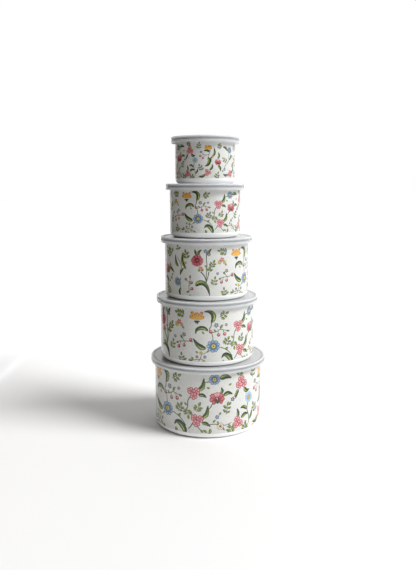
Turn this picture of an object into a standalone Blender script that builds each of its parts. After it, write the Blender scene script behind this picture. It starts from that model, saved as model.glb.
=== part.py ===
"""A tower of five round enamelled steel bowls, each closed by a plastic snap lid.

Metres, +Z up. The origin is on the floor, on the axis of the largest bowl. Every container is
a pressed bowl, a steel band closed over the bowl's rolled edge, and a lid that lifts straight
off. Each container above the first stands on the flat panel of the lid below it.
"""

import math
from dataclasses import dataclass

import bpy

MM = 0.001

# Pressed bowl
WALL = 0.8 * MM
BOTTOM_RADIUS = 8.5 * MM
FOOT_WIDTH = 6.0 * MM
FOOT_HEIGHT = 1.2 * MM
FOOT_SLOPE = 3.0 * MM
ROLL_REACH = 3.2 * MM
ROLL_HEIGHT = 1.6 * MM

# Steel band round the rolled edge
BAND_SHEET = 0.5 * MM
BAND_TOP_LEG = 3.8 * MM
BAND_BOTTOM_LEG = 3.4 * MM

# Snap lid
LID_OVERHANG = 5.9 * MM
LID_PANEL = 1.2 * MM
LID_BEAD_HEIGHT = 1.0 * MM
LID_BEAD_WIDTH = 2.2 * MM
LID_BEAD_CHAMFER = 0.5 * MM
LID_SKIRT = 9.2 * MM
LID_SKIRT_WALL = 1.2 * MM
LID_LIP_WALL = 1.6 * MM
LID_LIP_HEIGHT = 1.6 * MM
LID_PLUG_DEPTH = 5.0 * MM
LID_PLUG_WALL = 1.0 * MM
LID_PLUG_PLAY = 0.4 * MM

# Space left between faces that touch
GAP = 0.3 * MM

STEPS_ROUND = 32
ARC_STEPS = 3
SHARP_ANGLE = math.radians(35)


@dataclass(frozen=True)
class Container:
    """One closed bowl: its nominal width in centimetres, its sizes and its place in the tower."""

    label: str
    body_radius: float
    height: float
    shift: tuple[float, float]


# From the floor up. The shift is how far each one was set down off the first one's axis.
CONTAINERS = (
    Container("18", 86.1 * MM, 112.5 * MM, (0.0, 0.0)),
    Container("16", 74.4 * MM, 99.5 * MM, (-1.3 * MM, -7.0 * MM)),
    Container("14", 65.7 * MM, 94.0 * MM, (-2.2 * MM, -7.5 * MM)),
    Container("12", 55.0 * MM, 81.0 * MM, (-4.4 * MM, -7.5 * MM)),
    Container("10", 46.4 * MM, 71.0 * MM, (-4.2 * MM, -7.0 * MM)),
)


@dataclass(frozen=True)
class Finish:
    """Colour, roughness and metallic value of one material."""

    name: str
    colour: tuple[float, float, float]
    roughness: float
    metallic: float


ENAMEL = Finish("white_enamel", (0.80, 0.80, 0.77), 0.18, 0.0)
STEEL = Finish("rim_steel", (0.55, 0.57, 0.60), 0.30, 1.0)
LID_PLASTIC = Finish("frosted_plastic", (0.72, 0.75, 0.76), 0.45, 0.0)


def clear_scene():
    for obj in list(bpy.data.objects):
        bpy.data.objects.remove(obj, do_unlink=True)


def material(finish):
    made = bpy.data.materials.get(finish.name) or bpy.data.materials.new(finish.name)
    made.use_nodes = True
    shader = made.node_tree.nodes["Principled BSDF"]
    shader.inputs["Base Color"].default_value = (*finish.colour, 1.0)
    shader.inputs["Roughness"].default_value = finish.roughness
    shader.inputs["Metallic"].default_value = finish.metallic
    return made


def arc(centre, radius, start_deg, end_deg):
    """Points along a round corner of a profile, both ends included."""
    points = []
    for step in range(ARC_STEPS + 1):
        angle = math.radians(start_deg + (end_deg - start_deg) * step / ARC_STEPS)
        points.append((centre[0] + radius * math.cos(angle), centre[1] + radius * math.sin(angle)))
    return points


def turned(name, profile, closed, finish, axis, collection):
    """A solid of revolution about the container's axis, from (radius, height) points."""
    edges = [(i, i + 1) for i in range(len(profile) - 1)]
    if closed:
        edges.append((len(profile) - 1, 0))
    mesh = bpy.data.meshes.new(name)
    mesh.from_pydata([(radius, 0.0, height) for radius, height in profile], edges, [])
    obj = bpy.data.objects.new(name, mesh)
    obj.data.materials.append(material(finish))
    obj.parent = axis
    collection.objects.link(obj)
    screw = obj.modifiers.new("turn", "SCREW")
    screw.axis = "Z"
    screw.steps = screw.render_steps = STEPS_ROUND
    screw.use_merge_vertices = True
    screw.merge_threshold = 0.00001
    screw.use_smooth_shade = True
    edge_split = obj.modifiers.new("sharp_edges", "EDGE_SPLIT")
    edge_split.split_angle = SHARP_ANGLE
    return obj


def lid_panel_underside(container):
    return container.height - LID_BEAD_HEIGHT - LID_PANEL


def band_top(container):
    return lid_panel_underside(container) - GAP


def bowl_profile(container):
    """Inner floor to inner wall, over the rolled edge, down the outside and under the foot."""
    outer = container.body_radius
    inner = outer - WALL
    roll_top = band_top(container) - BAND_SHEET - GAP
    roll_bottom = roll_top - ROLL_HEIGHT
    corner = outer - BOTTOM_RADIUS
    foot_inner = corner - FOOT_WIDTH
    recess = foot_inner - FOOT_SLOPE
    inner_corner = BOTTOM_RADIUS - WALL
    return [
        (0.0, FOOT_HEIGHT + WALL),
        (recess, FOOT_HEIGHT + WALL),
        (foot_inner, WALL),
        *arc((corner, BOTTOM_RADIUS), inner_corner, 270, 360),
        (inner, roll_top),
        (outer + ROLL_REACH, roll_top),
        (outer + ROLL_REACH, roll_bottom),
        (outer, roll_bottom),
        *arc((corner, BOTTOM_RADIUS), BOTTOM_RADIUS, 0, -90),
        (foot_inner, 0.0),
        (recess, FOOT_HEIGHT),
        (0.0, FOOT_HEIGHT),
    ]


def band_profile(container):
    """A channel, open towards the axis, that holds the bowl's rolled edge."""
    top = band_top(container)
    bottom = top - 2 * (BAND_SHEET + GAP) - ROLL_HEIGHT
    outside = container.body_radius + ROLL_REACH + GAP + BAND_SHEET
    inside = outside - BAND_SHEET
    return [
        (outside - BAND_TOP_LEG, top),
        (outside, top),
        (outside, bottom),
        (outside - BAND_BOTTOM_LEG, bottom),
        (outside - BAND_BOTTOM_LEG, bottom + BAND_SHEET),
        (inside, bottom + BAND_SHEET),
        (inside, top - BAND_SHEET),
        (outside - BAND_TOP_LEG, top - BAND_SHEET),
    ]


def lid_profile(container):
    """Flat panel and raised edge bead, skirt with a snap lip, and the plug inside the mouth."""
    outside = container.body_radius + LID_OVERHANG
    top = container.height
    panel_top = top - LID_BEAD_HEIGHT
    underside = lid_panel_underside(container)
    bottom = top - LID_SKIRT
    skirt_inside = outside - LID_SKIRT_WALL
    lip_inside = outside - LID_LIP_WALL
    plug_outside = container.body_radius - WALL - LID_PLUG_PLAY
    plug_inside = plug_outside - LID_PLUG_WALL
    plug_bottom = underside - LID_PLUG_DEPTH
    return [
        (0.0, panel_top),
        (outside - LID_BEAD_WIDTH - LID_BEAD_CHAMFER, panel_top),
        (outside - LID_BEAD_WIDTH, top),
        (outside - LID_BEAD_CHAMFER, top),
        (outside, top - LID_BEAD_CHAMFER),
        (outside, bottom),
        (lip_inside, bottom),
        (lip_inside, bottom + LID_LIP_HEIGHT),
        (skirt_inside, bottom + 2 * LID_LIP_HEIGHT),
        (skirt_inside, underside),
        (plug_outside, underside),
        (plug_outside, plug_bottom),
        (plug_inside, plug_bottom),
        (plug_inside, underside),
        (0.0, underside),
    ]


def axis_empty(container, base, collection):
    """The upright axis of one container, at the plane it stands on."""
    axis = bpy.data.objects.new(f"axis_{container.label}", None)
    axis.location = (*container.shift, base)
    collection.objects.link(axis)
    return axis


def build_container(container, base, collection):
    axis = axis_empty(container, base, collection)
    label = container.label
    turned(f"bowl_{label}", bowl_profile(container), False, ENAMEL, axis, collection)
    turned(f"rim_band_{label}", band_profile(container), True, STEEL, axis, collection)
    turned(f"lid_{label}", lid_profile(container), False, LID_PLASTIC, axis, collection)


def main():
    clear_scene()
    tower = bpy.data.collections.new("bowl_tower")
    bpy.context.scene.collection.children.link(tower)
    base = 0.0
    for container in CONTAINERS:
        build_container(container, base, tower)
        base += container.height - LID_BEAD_HEIGHT + GAP


main()
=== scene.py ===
"""The finished look of a tower of five lidded enamel bowls, built round its CAD frame.

Metres, +Z up, and the front of the tower faces -Y. The flower strip alone is laid out in
millimetres, on the unrolled wall of the largest bowl: along is to the right, up is up.
"""

import logging
import math
import random
from collections.abc import Callable, Sequence
from dataclasses import dataclass, field, replace
from enum import Enum
from functools import cache

import bmesh
import bpy
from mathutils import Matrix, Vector
from mathutils.geometry import delaunay_2d_cdt


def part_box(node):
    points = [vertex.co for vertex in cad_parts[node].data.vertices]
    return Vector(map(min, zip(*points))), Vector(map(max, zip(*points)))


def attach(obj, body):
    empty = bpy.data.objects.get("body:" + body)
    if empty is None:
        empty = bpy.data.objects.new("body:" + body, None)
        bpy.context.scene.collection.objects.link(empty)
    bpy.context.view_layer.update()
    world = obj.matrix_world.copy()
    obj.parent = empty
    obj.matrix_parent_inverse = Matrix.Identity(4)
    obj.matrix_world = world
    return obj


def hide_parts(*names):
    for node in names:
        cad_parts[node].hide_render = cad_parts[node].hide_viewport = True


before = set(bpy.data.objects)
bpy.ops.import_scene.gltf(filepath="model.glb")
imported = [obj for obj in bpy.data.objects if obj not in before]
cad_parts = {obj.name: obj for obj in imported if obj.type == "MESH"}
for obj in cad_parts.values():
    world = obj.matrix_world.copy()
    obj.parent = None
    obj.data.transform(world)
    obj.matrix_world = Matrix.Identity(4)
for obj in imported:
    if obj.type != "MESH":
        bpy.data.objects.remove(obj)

MM = 0.001
SEGMENTS = 180  # stretches round every bowl, band and lid
SAME_PLACE = 0.004 * MM  # points of a spun piece this close are one point
WELD = 0.01 * MM  # how far the painted wall's edge may lie from the bowl's
LOG = logging.getLogger("bowl_tower")
Point = tuple[float, float]
Colour = tuple[float, float, float]


class Ink(Enum):
    """The fired colours of the decoration, as screen values from 0 to 255."""

    LEAF_DARK = (32, 56, 30)
    LEAF = (72, 100, 44)
    LEAF_LIGHT = (134, 154, 70)
    LIME = (206, 210, 116)
    OLIVE_DARK = (62, 78, 42)
    OLIVE = (98, 114, 60)
    OLIVE_PALE = (164, 174, 112)
    NAVY = (54, 76, 112)
    BLUE = (118, 150, 180)
    BLUE_PALE = (170, 200, 222)
    TEAL = (52, 88, 96)
    VIOLET = (104, 98, 158)
    YELLOW = (232, 200, 94)
    AMBER = (218, 148, 64)
    RUST = (176, 92, 38)
    BROWN = (110, 74, 42)
    BLUSH = (250, 212, 210)
    PINK = (221, 140, 141)
    ROSE = (194, 90, 101)
    CRIMSON = (156, 46, 68)
    MAROON = (112, 24, 52)
    CREAM = (250, 244, 222)

    @cache
    def linear(self) -> Colour:
        """The colour as the shader reads it."""
        return tuple(((c / 255 + 0.055) / 1.055) ** 2.4 for c in self.value)


@dataclass(frozen=True)
class Wash:
    """How one painted shape is coloured: from one ink at a start to another at an end."""

    near: Ink
    far: Ink
    start: Point = (0.0, 0.0)
    end: Point = (0.0, 1.0)
    radial: bool = False

    def at(self, point: Point) -> Colour:
        """The colour at a point.

        Args:
            point: A place on the strip.

        Returns:
            The mixed linear colour.
        """
        run = (self.end[0] - self.start[0], self.end[1] - self.start[1])
        off = (point[0] - self.start[0], point[1] - self.start[1])
        length = math.hypot(*run) or 1.0
        if self.radial:
            share = math.hypot(*off) / length
        else:
            share = (off[0] * run[0] + off[1] * run[1]) / length**2
        share = min(max(share, 0.0), 1.0)
        near, far = self.near.linear(), self.far.linear()
        return tuple(a + (b - a) * share for a, b in zip(near, far))


@dataclass(frozen=True)
class Shape:
    """One painted shape: its outline on the strip and its wash."""

    outline: tuple[Point, ...]
    wash: Wash


def polar(centre: Point, radius: float, degrees: float) -> Point:
    """The point at a distance and an angle from a centre."""
    angle = math.radians(degrees)
    return centre[0] + radius * math.cos(angle), centre[1] + radius * math.sin(angle)


def turning(outline: Sequence[Point]) -> float:
    """Twice the area of an outline, negative where it runs clockwise."""
    pairs = zip(outline, (*outline[1:], outline[0]))
    return sum(a[0] * b[1] - b[0] * a[1] for a, b in pairs)


def flowing(points: Sequence[Point], steps: int) -> list[Point]:
    """A smooth line through a few points.

    Args:
        points: The points that the line passes, in order.
        steps: How many stretches the whole line is cut into.

    Returns:
        The points along the line, both ends included.
    """
    padded = [points[0], *points, points[-1]]
    spans = len(points) - 1
    line = []
    for step in range(steps + 1):
        place = spans * step / steps
        span = min(int(place), spans - 1)
        t = place - span
        p0, p1, p2, p3 = padded[span : span + 4]
        line.append(
            tuple(
                0.5
                * (
                    2 * b
                    + (c - a) * t
                    + (2 * a - 5 * b + 4 * c - d) * t**2
                    + (3 * b - a - 3 * c + d) * t**3
                )
                for a, b, c, d in zip(p0, p1, p2, p3)
            )
        )
    return line


def sideways(line: Sequence[Point], index: int) -> Point:
    """The unit direction to the left of a line at one of its points."""
    a = line[max(index - 1, 0)]
    b = line[min(index + 1, len(line) - 1)]
    run = (b[0] - a[0], b[1] - a[1])
    length = math.hypot(*run) or 1.0
    return -run[1] / length, run[0] / length


def swept(
    line: Sequence[Point],
    left: Sequence[float],
    right: Sequence[float],
) -> tuple[Point, ...]:
    """The outline of a band along a line.

    Args:
        line: The points that the band follows.
        left: How far it reaches to the left at each of them.
        right: How far it reaches to the right.

    Returns:
        The points round the band.
    """
    one, other = [], []
    for index, (x, y) in enumerate(line):
        nx, ny = sideways(line, index)
        one.append((x + nx * left[index], y + ny * left[index]))
        other.append((x - nx * right[index], y - ny * right[index]))
    return tuple(one + other[::-1])


class FlowerStrip:
    """The decoration: a strip of garden flowers that goes once round a bowl.

    Each motif is drawn from its smallest parts, and a later shape covers an earlier one. The
    shares of a width or a radius in the motifs are what gives each part its form.
    """

    def __init__(self) -> None:
        """Starts with a bare strip and composes all of it."""
        self.shapes: list[Shape] = []
        self.dice = random.Random(18)  # seeded, so that every build paints the same strip
        self.origin = 0.0
        self.heading = 1
        self.compose()

    def lay(self, spray: Callable[[], None], origin: float, heading: int = 1) -> None:
        """Lays one spray on the strip.

        Args:
            spray: What draws it.
            origin: Where its own zero comes to lie.
            heading: 1 as it is drawn, -1 mirrored.
        """
        self.origin, self.heading = origin, heading
        spray()

    def laid(self, point: Point) -> Point:
        """Where a point of the spray comes to lie on the strip."""
        return self.origin + self.heading * point[0], point[1]

    def add(self, outline: Sequence[Point], wash: Wash) -> None:
        """Paints one shape over what is there, its outline anticlockwise."""
        outline = [self.laid(point) for point in outline]
        if turning(outline) < 0:
            outline = outline[::-1]
        wash = replace(wash, start=self.laid(wash.start), end=self.laid(wash.end))
        self.shapes.append(Shape(tuple(outline), wash))

    def stem(self, points: Sequence[Point], width: float = 1.0, ink: Ink = Ink.OLIVE) -> None:
        """A thin stalk.

        Args:
            points: The places it passes, from its root.
            width: Its width.
            ink: Its colour near the root.
        """
        steps = 4 * (len(points) - 1) + 1
        line = flowing(points, steps)
        at_root, taper = 0.84, 0.26
        half = [width * (at_root - taper * i / steps) for i in range(steps + 1)]
        self.add(swept(line, half, half), Wash(ink, Ink.OLIVE_DARK, line[0], line[-1]))

    def leaf(
        self,
        points: Sequence[Point],
        width: float,
        lit: int = 1,
        pale: bool = False,
    ) -> None:
        """A pointed leaf in two tones, with a midrib.

        Args:
            points: Its midrib, from stalk to tip.
            width: Its greatest width.
            lit: 1 where the left half is the bright one, -1 for the right half.
            pale: True for a leaf that is bright all over.
        """
        steps = 11
        line = flowing(points, steps)
        full = []
        for i in range(steps + 1):
            t = i / steps
            full.append(0.48 * width * math.sin(math.pi * t**0.74) ** 0.92 + 0.12)
        wavy = [w * (1 + 0.07 * math.sin(2.6 * i + width)) for i, w in enumerate(full)]
        deep = Ink.LEAF if pale else Ink.LEAF_DARK
        self.add(swept(line, wavy, full), Wash(deep, Ink.LEAF_DARK, line[0], line[-1]))
        body = Ink.LEAF_LIGHT if pale else Ink.LEAF
        layers = (
            (0.9, lit, 0, steps, Wash(body, Ink.LEAF_DARK, line[2], line[-1])),
            (0.66, lit, 1, 9, Wash(Ink.LEAF_LIGHT, Ink.LEAF, line[1], line[9])),
            (0.46, lit, 2, 6, Wash(Ink.LIME, Ink.LEAF_LIGHT, line[2], line[6])),
            (0.5, -lit, 2, 8, Wash(Ink.LEAF, Ink.LEAF_DARK, line[1], line[8])),
        )
        for share, side, first, last, wash in layers:
            part = slice(first, last + 1)
            reach = [share * w for w in full[part]]
            none = [0.0] * len(reach)
            pair = (reach, none) if side > 0 else (none, reach)
            self.add(swept(line[part], *pair), wash)
        rib = [0.04 * width * (1 - i / steps) + 0.05 for i in range(steps + 1)]
        green = Wash(Ink.OLIVE_DARK, Ink.LEAF_DARK, line[0], line[-2])
        self.add(swept(line[:-2], rib[:-2], rib[:-2]), green)
        self.veins(line, full)

    def veins(self, line: Sequence[Point], reaches: Sequence[float]) -> None:
        """Three pairs of side veins of a leaf.

        Args:
            line: The leaf's midrib.
            reaches: The leaf's half width at each point of it.
        """
        thin = [0.14, 0.1, 0.03]
        for i in (3, 5, 7):
            nx, ny = sideways(line, i)
            ahead = line[i + 1]
            for side in (-1, 1):
                reach = 0.72 * reaches[i] * side
                end = (ahead[0] + nx * reach, ahead[1] + ny * reach)
                vein = flowing([line[i], end], 2)
                self.add(swept(vein, thin, thin), Wash(Ink.LEAF_DARK, Ink.LEAF_DARK))

    def leaflet(
        self,
        root: Point,
        degrees: float,
        length: float,
        pale: bool = False,
    ) -> None:
        """A small olive leaf of a sprig.

        Args:
            root: Where it starts.
            degrees: The way it points.
            length: Its length.
            pale: True for a light leaf.
        """
        tip = polar(root, length, degrees)
        middle = polar(root, 0.5 * length, degrees + 8)
        line = flowing([root, middle, tip], 6)
        half = [0.29 * length * math.sin(math.pi * (i / 6) ** 0.85) ** 0.8 + 0.06 for i in range(7)]
        deep = Ink.OLIVE if pale else Ink.OLIVE_DARK
        self.add(swept(line, half, half), Wash(deep, Ink.OLIVE, root, tip))
        light = [0.7 * h for h in half[1:6]]
        none = [0.0] * 5
        self.add(swept(line[1:6], light, none), Wash(Ink.OLIVE_PALE, Ink.LEAF_LIGHT, root, tip))

    def sprig(
        self,
        root: Point,
        degrees: float,
        length: float,
        pairs: int = 2,
        pale: bool = False,
    ) -> None:
        """A twig with pairs of leaflets and one at its end.

        Args:
            root: Where the twig starts.
            degrees: The way it points.
            length: Its length without the last leaflet.
            pairs: How many pairs of leaflets it carries.
            pale: True for a light twig.
        """
        bend = self.dice.uniform(-8, 8)
        middle = polar(root, 0.5 * length, degrees + bend)
        tip = polar(root, length, degrees)
        self.stem([root, middle, tip], 0.8, Ink.OLIVE_PALE if pale else Ink.OLIVE)
        size = self.dice.uniform(7.0, 8.2)
        for pair in range(pairs):
            share = (pair + 0.35) / pairs
            at = (root[0] + (tip[0] - root[0]) * share, root[1] + (tip[1] - root[1]) * share)
            for side in (-1, 1):
                turn = degrees + side * self.dice.uniform(48, 66)
                start = polar(at, 1.1, turn)
                self.leaflet(start, turn, size * self.dice.uniform(0.82, 1.1), pale)
        self.leaflet(polar(tip, 0.6, degrees), degrees, size, pale)

    def petal(
        self,
        centre: Point,
        degrees: float,
        inner: float,
        outer: float,
        width: float,
        wash: Wash,
        notch: float = 0.0,
    ) -> None:
        """One rounded petal that points away from a centre.

        Args:
            centre: The middle of the flower.
            degrees: The way the petal points.
            inner: Where it starts, from the centre.
            outer: Where it ends.
            width: Its greatest width.
            wash: Its colours.
            notch: How deep its end is dented.
        """
        length = outer - inner
        outline = []
        for i in range(11):
            t = i / 10
            angle = math.pi * (2 * t - 1)
            along = inner + length * (0.5 + 0.5 * math.cos(angle)) ** 0.72
            across = 0.5 * width * math.sin(angle) * (0.62 + 0.38 * (along - inner) / length)
            if i == 5:
                along -= notch
            x, y = polar(centre, along, degrees)
            nx, ny = -math.sin(math.radians(degrees)), math.cos(math.radians(degrees))
            outline.append((x + nx * across, y + ny * across))
        self.add(outline[:-1], wash)

    def disc(
        self,
        centre: Point,
        radius: float,
        wash: Wash,
        points: int = 10,
        ragged: float = 0.0,
    ) -> None:
        """A small round or ragged spot.

        Args:
            centre: Its middle.
            radius: Its reach.
            wash: Its colours.
            points: How many corners it has.
            ragged: How much farther out every second corner lies, as a share.
        """
        outline = []
        for i in range(points):
            reach = radius * (1 + (ragged if i % 2 else -ragged))
            outline.append(polar(centre, reach, 360 * i / points + 11))
        self.add(outline, wash)

    def daisy(self, centre: Point, radius: float, petals: int = 10, pale: bool = False) -> None:
        """A blue flower with a yellow eye.

        Args:
            centre: Its middle.
            radius: Its reach.
            petals: How many petals it has.
            pale: True for a light one.
        """
        edge, body = (Ink.BLUE, Ink.BLUE_PALE) if pale else (Ink.NAVY, Ink.BLUE)
        width = 1.72 * math.pi * radius / petals
        turn = self.dice.uniform(0, 30)
        rim = polar(centre, radius, 0)
        under = Wash(Ink.NAVY, edge, centre, rim, True)
        over = Wash(edge, body, centre, polar(centre, 0.62 * radius, 0), True)
        for i in range(petals):
            way = turn + 360 * i / petals
            reach = radius * self.dice.uniform(0.93, 1.04)
            self.petal(centre, way, 0.1 * radius, reach, width, under, 0.06 * radius)
            self.petal(centre, way, 0.14 * radius, reach * 0.93, width * 0.84, over, 0.06 * radius)
            tip = Wash(body, Ink.BLUE_PALE, centre, rim, True)
            self.petal(centre, way, 0.56 * radius, reach * 0.88, width * 0.56, tip, 0.03 * radius)
            crease = [polar(centre, 0.3 * radius, way), polar(centre, 0.72 * radius, way)]
            self.add(swept(crease, [0.035 * radius, 0.01], [0.035 * radius, 0.01]), under)
        ring = Wash(Ink.OLIVE_DARK, Ink.TEAL, centre, polar(centre, 0.4 * radius, 0), True)
        self.disc(centre, 0.38 * radius, ring, 16, 0.16)
        self.disc(centre, 0.29 * radius, Wash(Ink.YELLOW, Ink.YELLOW), 12, 0.1)
        self.disc(centre, 0.13 * radius, Wash(Ink.RUST, Ink.BROWN), 8)

    def floret(self, centre: Point, radius: float, degrees: float) -> None:
        """One round floret of a cluster: scalloped, with pale loops and a dark eye.

        Args:
            centre: Its middle.
            radius: Its reach.
            degrees: The way its first petal points.
        """
        rim = polar(centre, radius, 0)
        dark = Wash(Ink.CRIMSON, Ink.CRIMSON)
        body = Wash(Ink.ROSE, Ink.PINK, centre, rim, True)
        loop = Wash(Ink.PINK, Ink.BLUSH, centre, rim, True)
        ways = [degrees + 72 * i for i in range(5)]
        for way in ways:
            self.petal(centre, way, 0, radius * 1.08, radius * 1.16, dark)
        for way in ways:
            self.petal(centre, way, 0, radius * 0.92, radius * 0.84, body)
            self.petal(centre, way, 0.32 * radius, radius * 0.84, radius * 0.52, loop)
            self.petal(centre, way, 0.46 * radius, radius * 0.72, radius * 0.24, body)
        self.disc(centre, 0.3 * radius, Wash(Ink.MAROON, Ink.CRIMSON, centre, rim, True), 8)
        self.disc(centre, 0.14 * radius, Wash(Ink.BLUSH, Ink.BLUSH), 6)

    def cluster(
        self,
        centre: Point,
        size: float,
        degrees: float = 90.0,
        lobes: int = 3,
    ) -> None:
        """A pink cluster of florets round a middle.

        Args:
            centre: Its middle.
            size: Its width.
            degrees: The way its first floret lies.
            lobes: How many florets it has.
        """
        for i in range(lobes):
            way = degrees + 360 * i / lobes
            self.floret(polar(centre, 0.27 * size, way), 0.3 * size, way)

    def fan(self, centre: Point, size: float, degrees: float = 80.0) -> None:
        """A half-open crimson flower with a pale heart and a green cup.

        Args:
            centre: Its middle.
            size: Its width.
            degrees: The way it opens.
        """
        rim = polar(centre, 0.55 * size, 0)
        base = polar(centre, 0.16 * size, degrees + 180)
        deep = Wash(Ink.MAROON, Ink.CRIMSON, base, rim, True)
        light = Wash(Ink.CRIMSON, Ink.PINK, base, rim, True)
        skirt = ((122, 0.46), (82, 0.54), (-84, 0.56), (-122, 0.44), (-46, 0.62), (44, 0.58))
        for way, reach in skirt:
            turn = degrees + way
            self.petal(base, turn, 0.02 * size, reach * size, 0.36 * size, deep, 0.05 * size)
            self.petal(base, turn, 0.1 * size, reach * size * 0.9, 0.24 * size, light, 0.05 * size)
            crease = [polar(base, 0.16 * size, turn), polar(base, reach * size * 0.7, turn)]
            self.add(swept(crease, [0.02 * size, 0.01], [0.02 * size, 0.01]), deep)
        heart = polar(base, 0.12 * size, degrees)
        for way in (-26, 0, 26):
            under = Wash(Ink.CRIMSON, Ink.MAROON, heart, rim, True)
            over = Wash(Ink.PINK, Ink.BLUSH, heart, rim, True)
            self.petal(heart, degrees + way, 0, 0.42 * size, 0.19 * size, under)
            self.petal(heart, degrees + way, 0.05 * size, 0.38 * size, 0.12 * size, over)
        cup = polar(base, 0.2 * size, degrees + 180)
        green = Wash(Ink.LEAF_DARK, Ink.LEAF, cup, base, True)
        for way in (-50, 0, 50):
            self.petal(cup, degrees + way, -0.1 * size, 0.22 * size, 0.14 * size, green)

    def tulip(self, centre: Point, size: float, degrees: float = 90.0) -> None:
        """An orange cup-shaped flower on a green cup.

        Args:
            centre: Its middle.
            size: Its height.
            degrees: The way it opens.
        """
        base = polar(centre, 0.36 * size, degrees + 180)
        rim = polar(base, 0.8 * size, degrees)
        under = Wash(Ink.AMBER, Ink.RUST, base, rim, True)
        over = Wash(Ink.YELLOW, Ink.AMBER, base, rim, True)
        sides = (
            (66, 0.66, 0.3),
            (-66, 0.66, 0.3),
            (36, 0.8, 0.3),
            (-36, 0.8, 0.3),
            (0, 0.62, 0.34),
        )
        for way, reach, wide in sides:
            turn = degrees + way
            far = reach * size
            self.petal(base, turn, 0, far, wide * size, under, 0.07 * size)
            self.petal(base, turn, 0.06 * size, far * 0.88, wide * 0.66 * size, over, 0.05 * size)
        for way in (-50, -25, 0, 25, 50):
            start = polar(base, 0.2 * size, degrees + way)
            end = polar(base, 0.44 * size, degrees + way)
            self.add(swept([start, end], [0.02 * size, 0.01], [0.02 * size, 0.01]), under)
            self.disc(end, 0.035 * size, Wash(Ink.BROWN, Ink.RUST), 6)
        cup = polar(base, 0.06 * size, degrees + 180)
        green = Wash(Ink.LEAF, Ink.LEAF_DARK, base, cup, True)
        for way in (-78, -30, 30, 78):
            self.petal(cup, degrees + 180 + way * 0.9, 0, 0.24 * size, 0.13 * size, green)
        self.stem([cup, polar(cup, 0.3 * size, degrees + 176)], 1.1, Ink.OLIVE_DARK)

    def peony(self, centre: Point, radius: float) -> None:
        """A big ragged crimson flower."""
        rim = polar(centre, radius, 0)
        dark = Wash(Ink.MAROON, Ink.CRIMSON, centre, rim, True)
        rings = ((10, 1.0, 0.62), (8, 0.76, 0.52), (6, 0.46, 0.4))
        for ring, (count, reach, wide) in enumerate(rings):
            light = Wash(Ink.CRIMSON, Ink.PINK if ring < 2 else Ink.ROSE, centre, rim, True)
            for i in range(count):
                way = 360 * i / count + 17 * ring
                far = radius * reach * self.dice.uniform(0.86, 1.05)
                self.petal(centre, way, 0.1 * radius, far, wide * radius, dark, 0.1 * radius)
                width = wide * 0.66 * radius
                self.petal(centre, way, 0.2 * radius, far * 0.92, width, light, 0.08 * radius)
                crease = [polar(centre, 0.3 * far, way), polar(centre, 0.74 * far, way)]
                self.add(swept(crease, [0.04 * radius, 0.01], [0.04 * radius, 0.01]), dark)
        self.disc(centre, 0.2 * radius, Wash(Ink.LEAF_DARK, Ink.BROWN, centre, rim, True), 12, 0.15)
        self.disc(centre, 0.1 * radius, Wash(Ink.YELLOW, Ink.AMBER), 8)

    def berry(self, centre: Point, radius: float = 3.0, stalk: Point | None = None) -> None:
        """A red berry with a bright spot, on a stalk if it has one.

        Args:
            centre: Its middle.
            radius: Its reach.
            stalk: Where its stalk starts.
        """
        if stalk:
            bend = ((stalk[0] + centre[0]) / 2 + 0.6, (stalk[1] + centre[1]) / 2)
            self.stem([stalk, bend, centre], 0.7)
        rim = polar(centre, radius, -60)
        lit = Wash(Ink.PINK, Ink.ROSE, centre, rim, True)
        self.disc(centre, radius, Wash(Ink.CRIMSON, Ink.MAROON, centre, rim, True), 12, 0.03)
        self.disc(polar(centre, 0.2 * radius, 120), 0.66 * radius, lit, 10)
        self.disc(polar(centre, 0.34 * radius, 130), 0.24 * radius, Wash(Ink.BLUSH, Ink.BLUSH), 7)

    def tiny(
        self,
        centre: Point,
        radius: float = 3.4,
        body: Ink = Ink.BLUE,
        petals: int = 5,
        eye: Ink = Ink.YELLOW,
    ) -> None:
        """A very small flower.

        Args:
            centre: Its middle.
            radius: Its reach.
            body: The colour of its petals.
            petals: How many petals it has.
            eye: The colour of its middle.
        """
        edges = {
            Ink.BLUE: Ink.NAVY,
            Ink.VIOLET: Ink.NAVY,
            Ink.YELLOW: Ink.OLIVE_DARK,
            Ink.CREAM: Ink.BROWN,
        }
        edge = edges.get(body, Ink.CRIMSON)
        turn = self.dice.uniform(0, 60)
        rim = polar(centre, radius, 0)
        for i in range(petals):
            way = turn + 360 * i / petals
            self.petal(centre, way, 0, radius, radius * 4.3 / petals, Wash(edge, edge))
            inner = Wash(edge, body, centre, polar(centre, 0.6 * radius, 0), True)
            self.petal(centre, way, 0.1, radius * 0.86, radius * 2.9 / petals, inner)
        self.disc(centre, 0.3 * radius, Wash(eye, Ink.AMBER, centre, rim, True), 7)

    def compose(self) -> None:
        """Lays the sprays side by side, from one end of the strip to the other."""
        self.lay(self.compose_right, -262.0, -1)
        self.lay(self.compose_far_left, 8.0)
        self.lay(self.compose_middle, -135.0, -1)
        self.lay(self.compose_left, -129.0, -1)
        self.lay(self.compose_far_right, 271.0, -1)
        self.lay(self.compose_gaps, 0.0)

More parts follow.
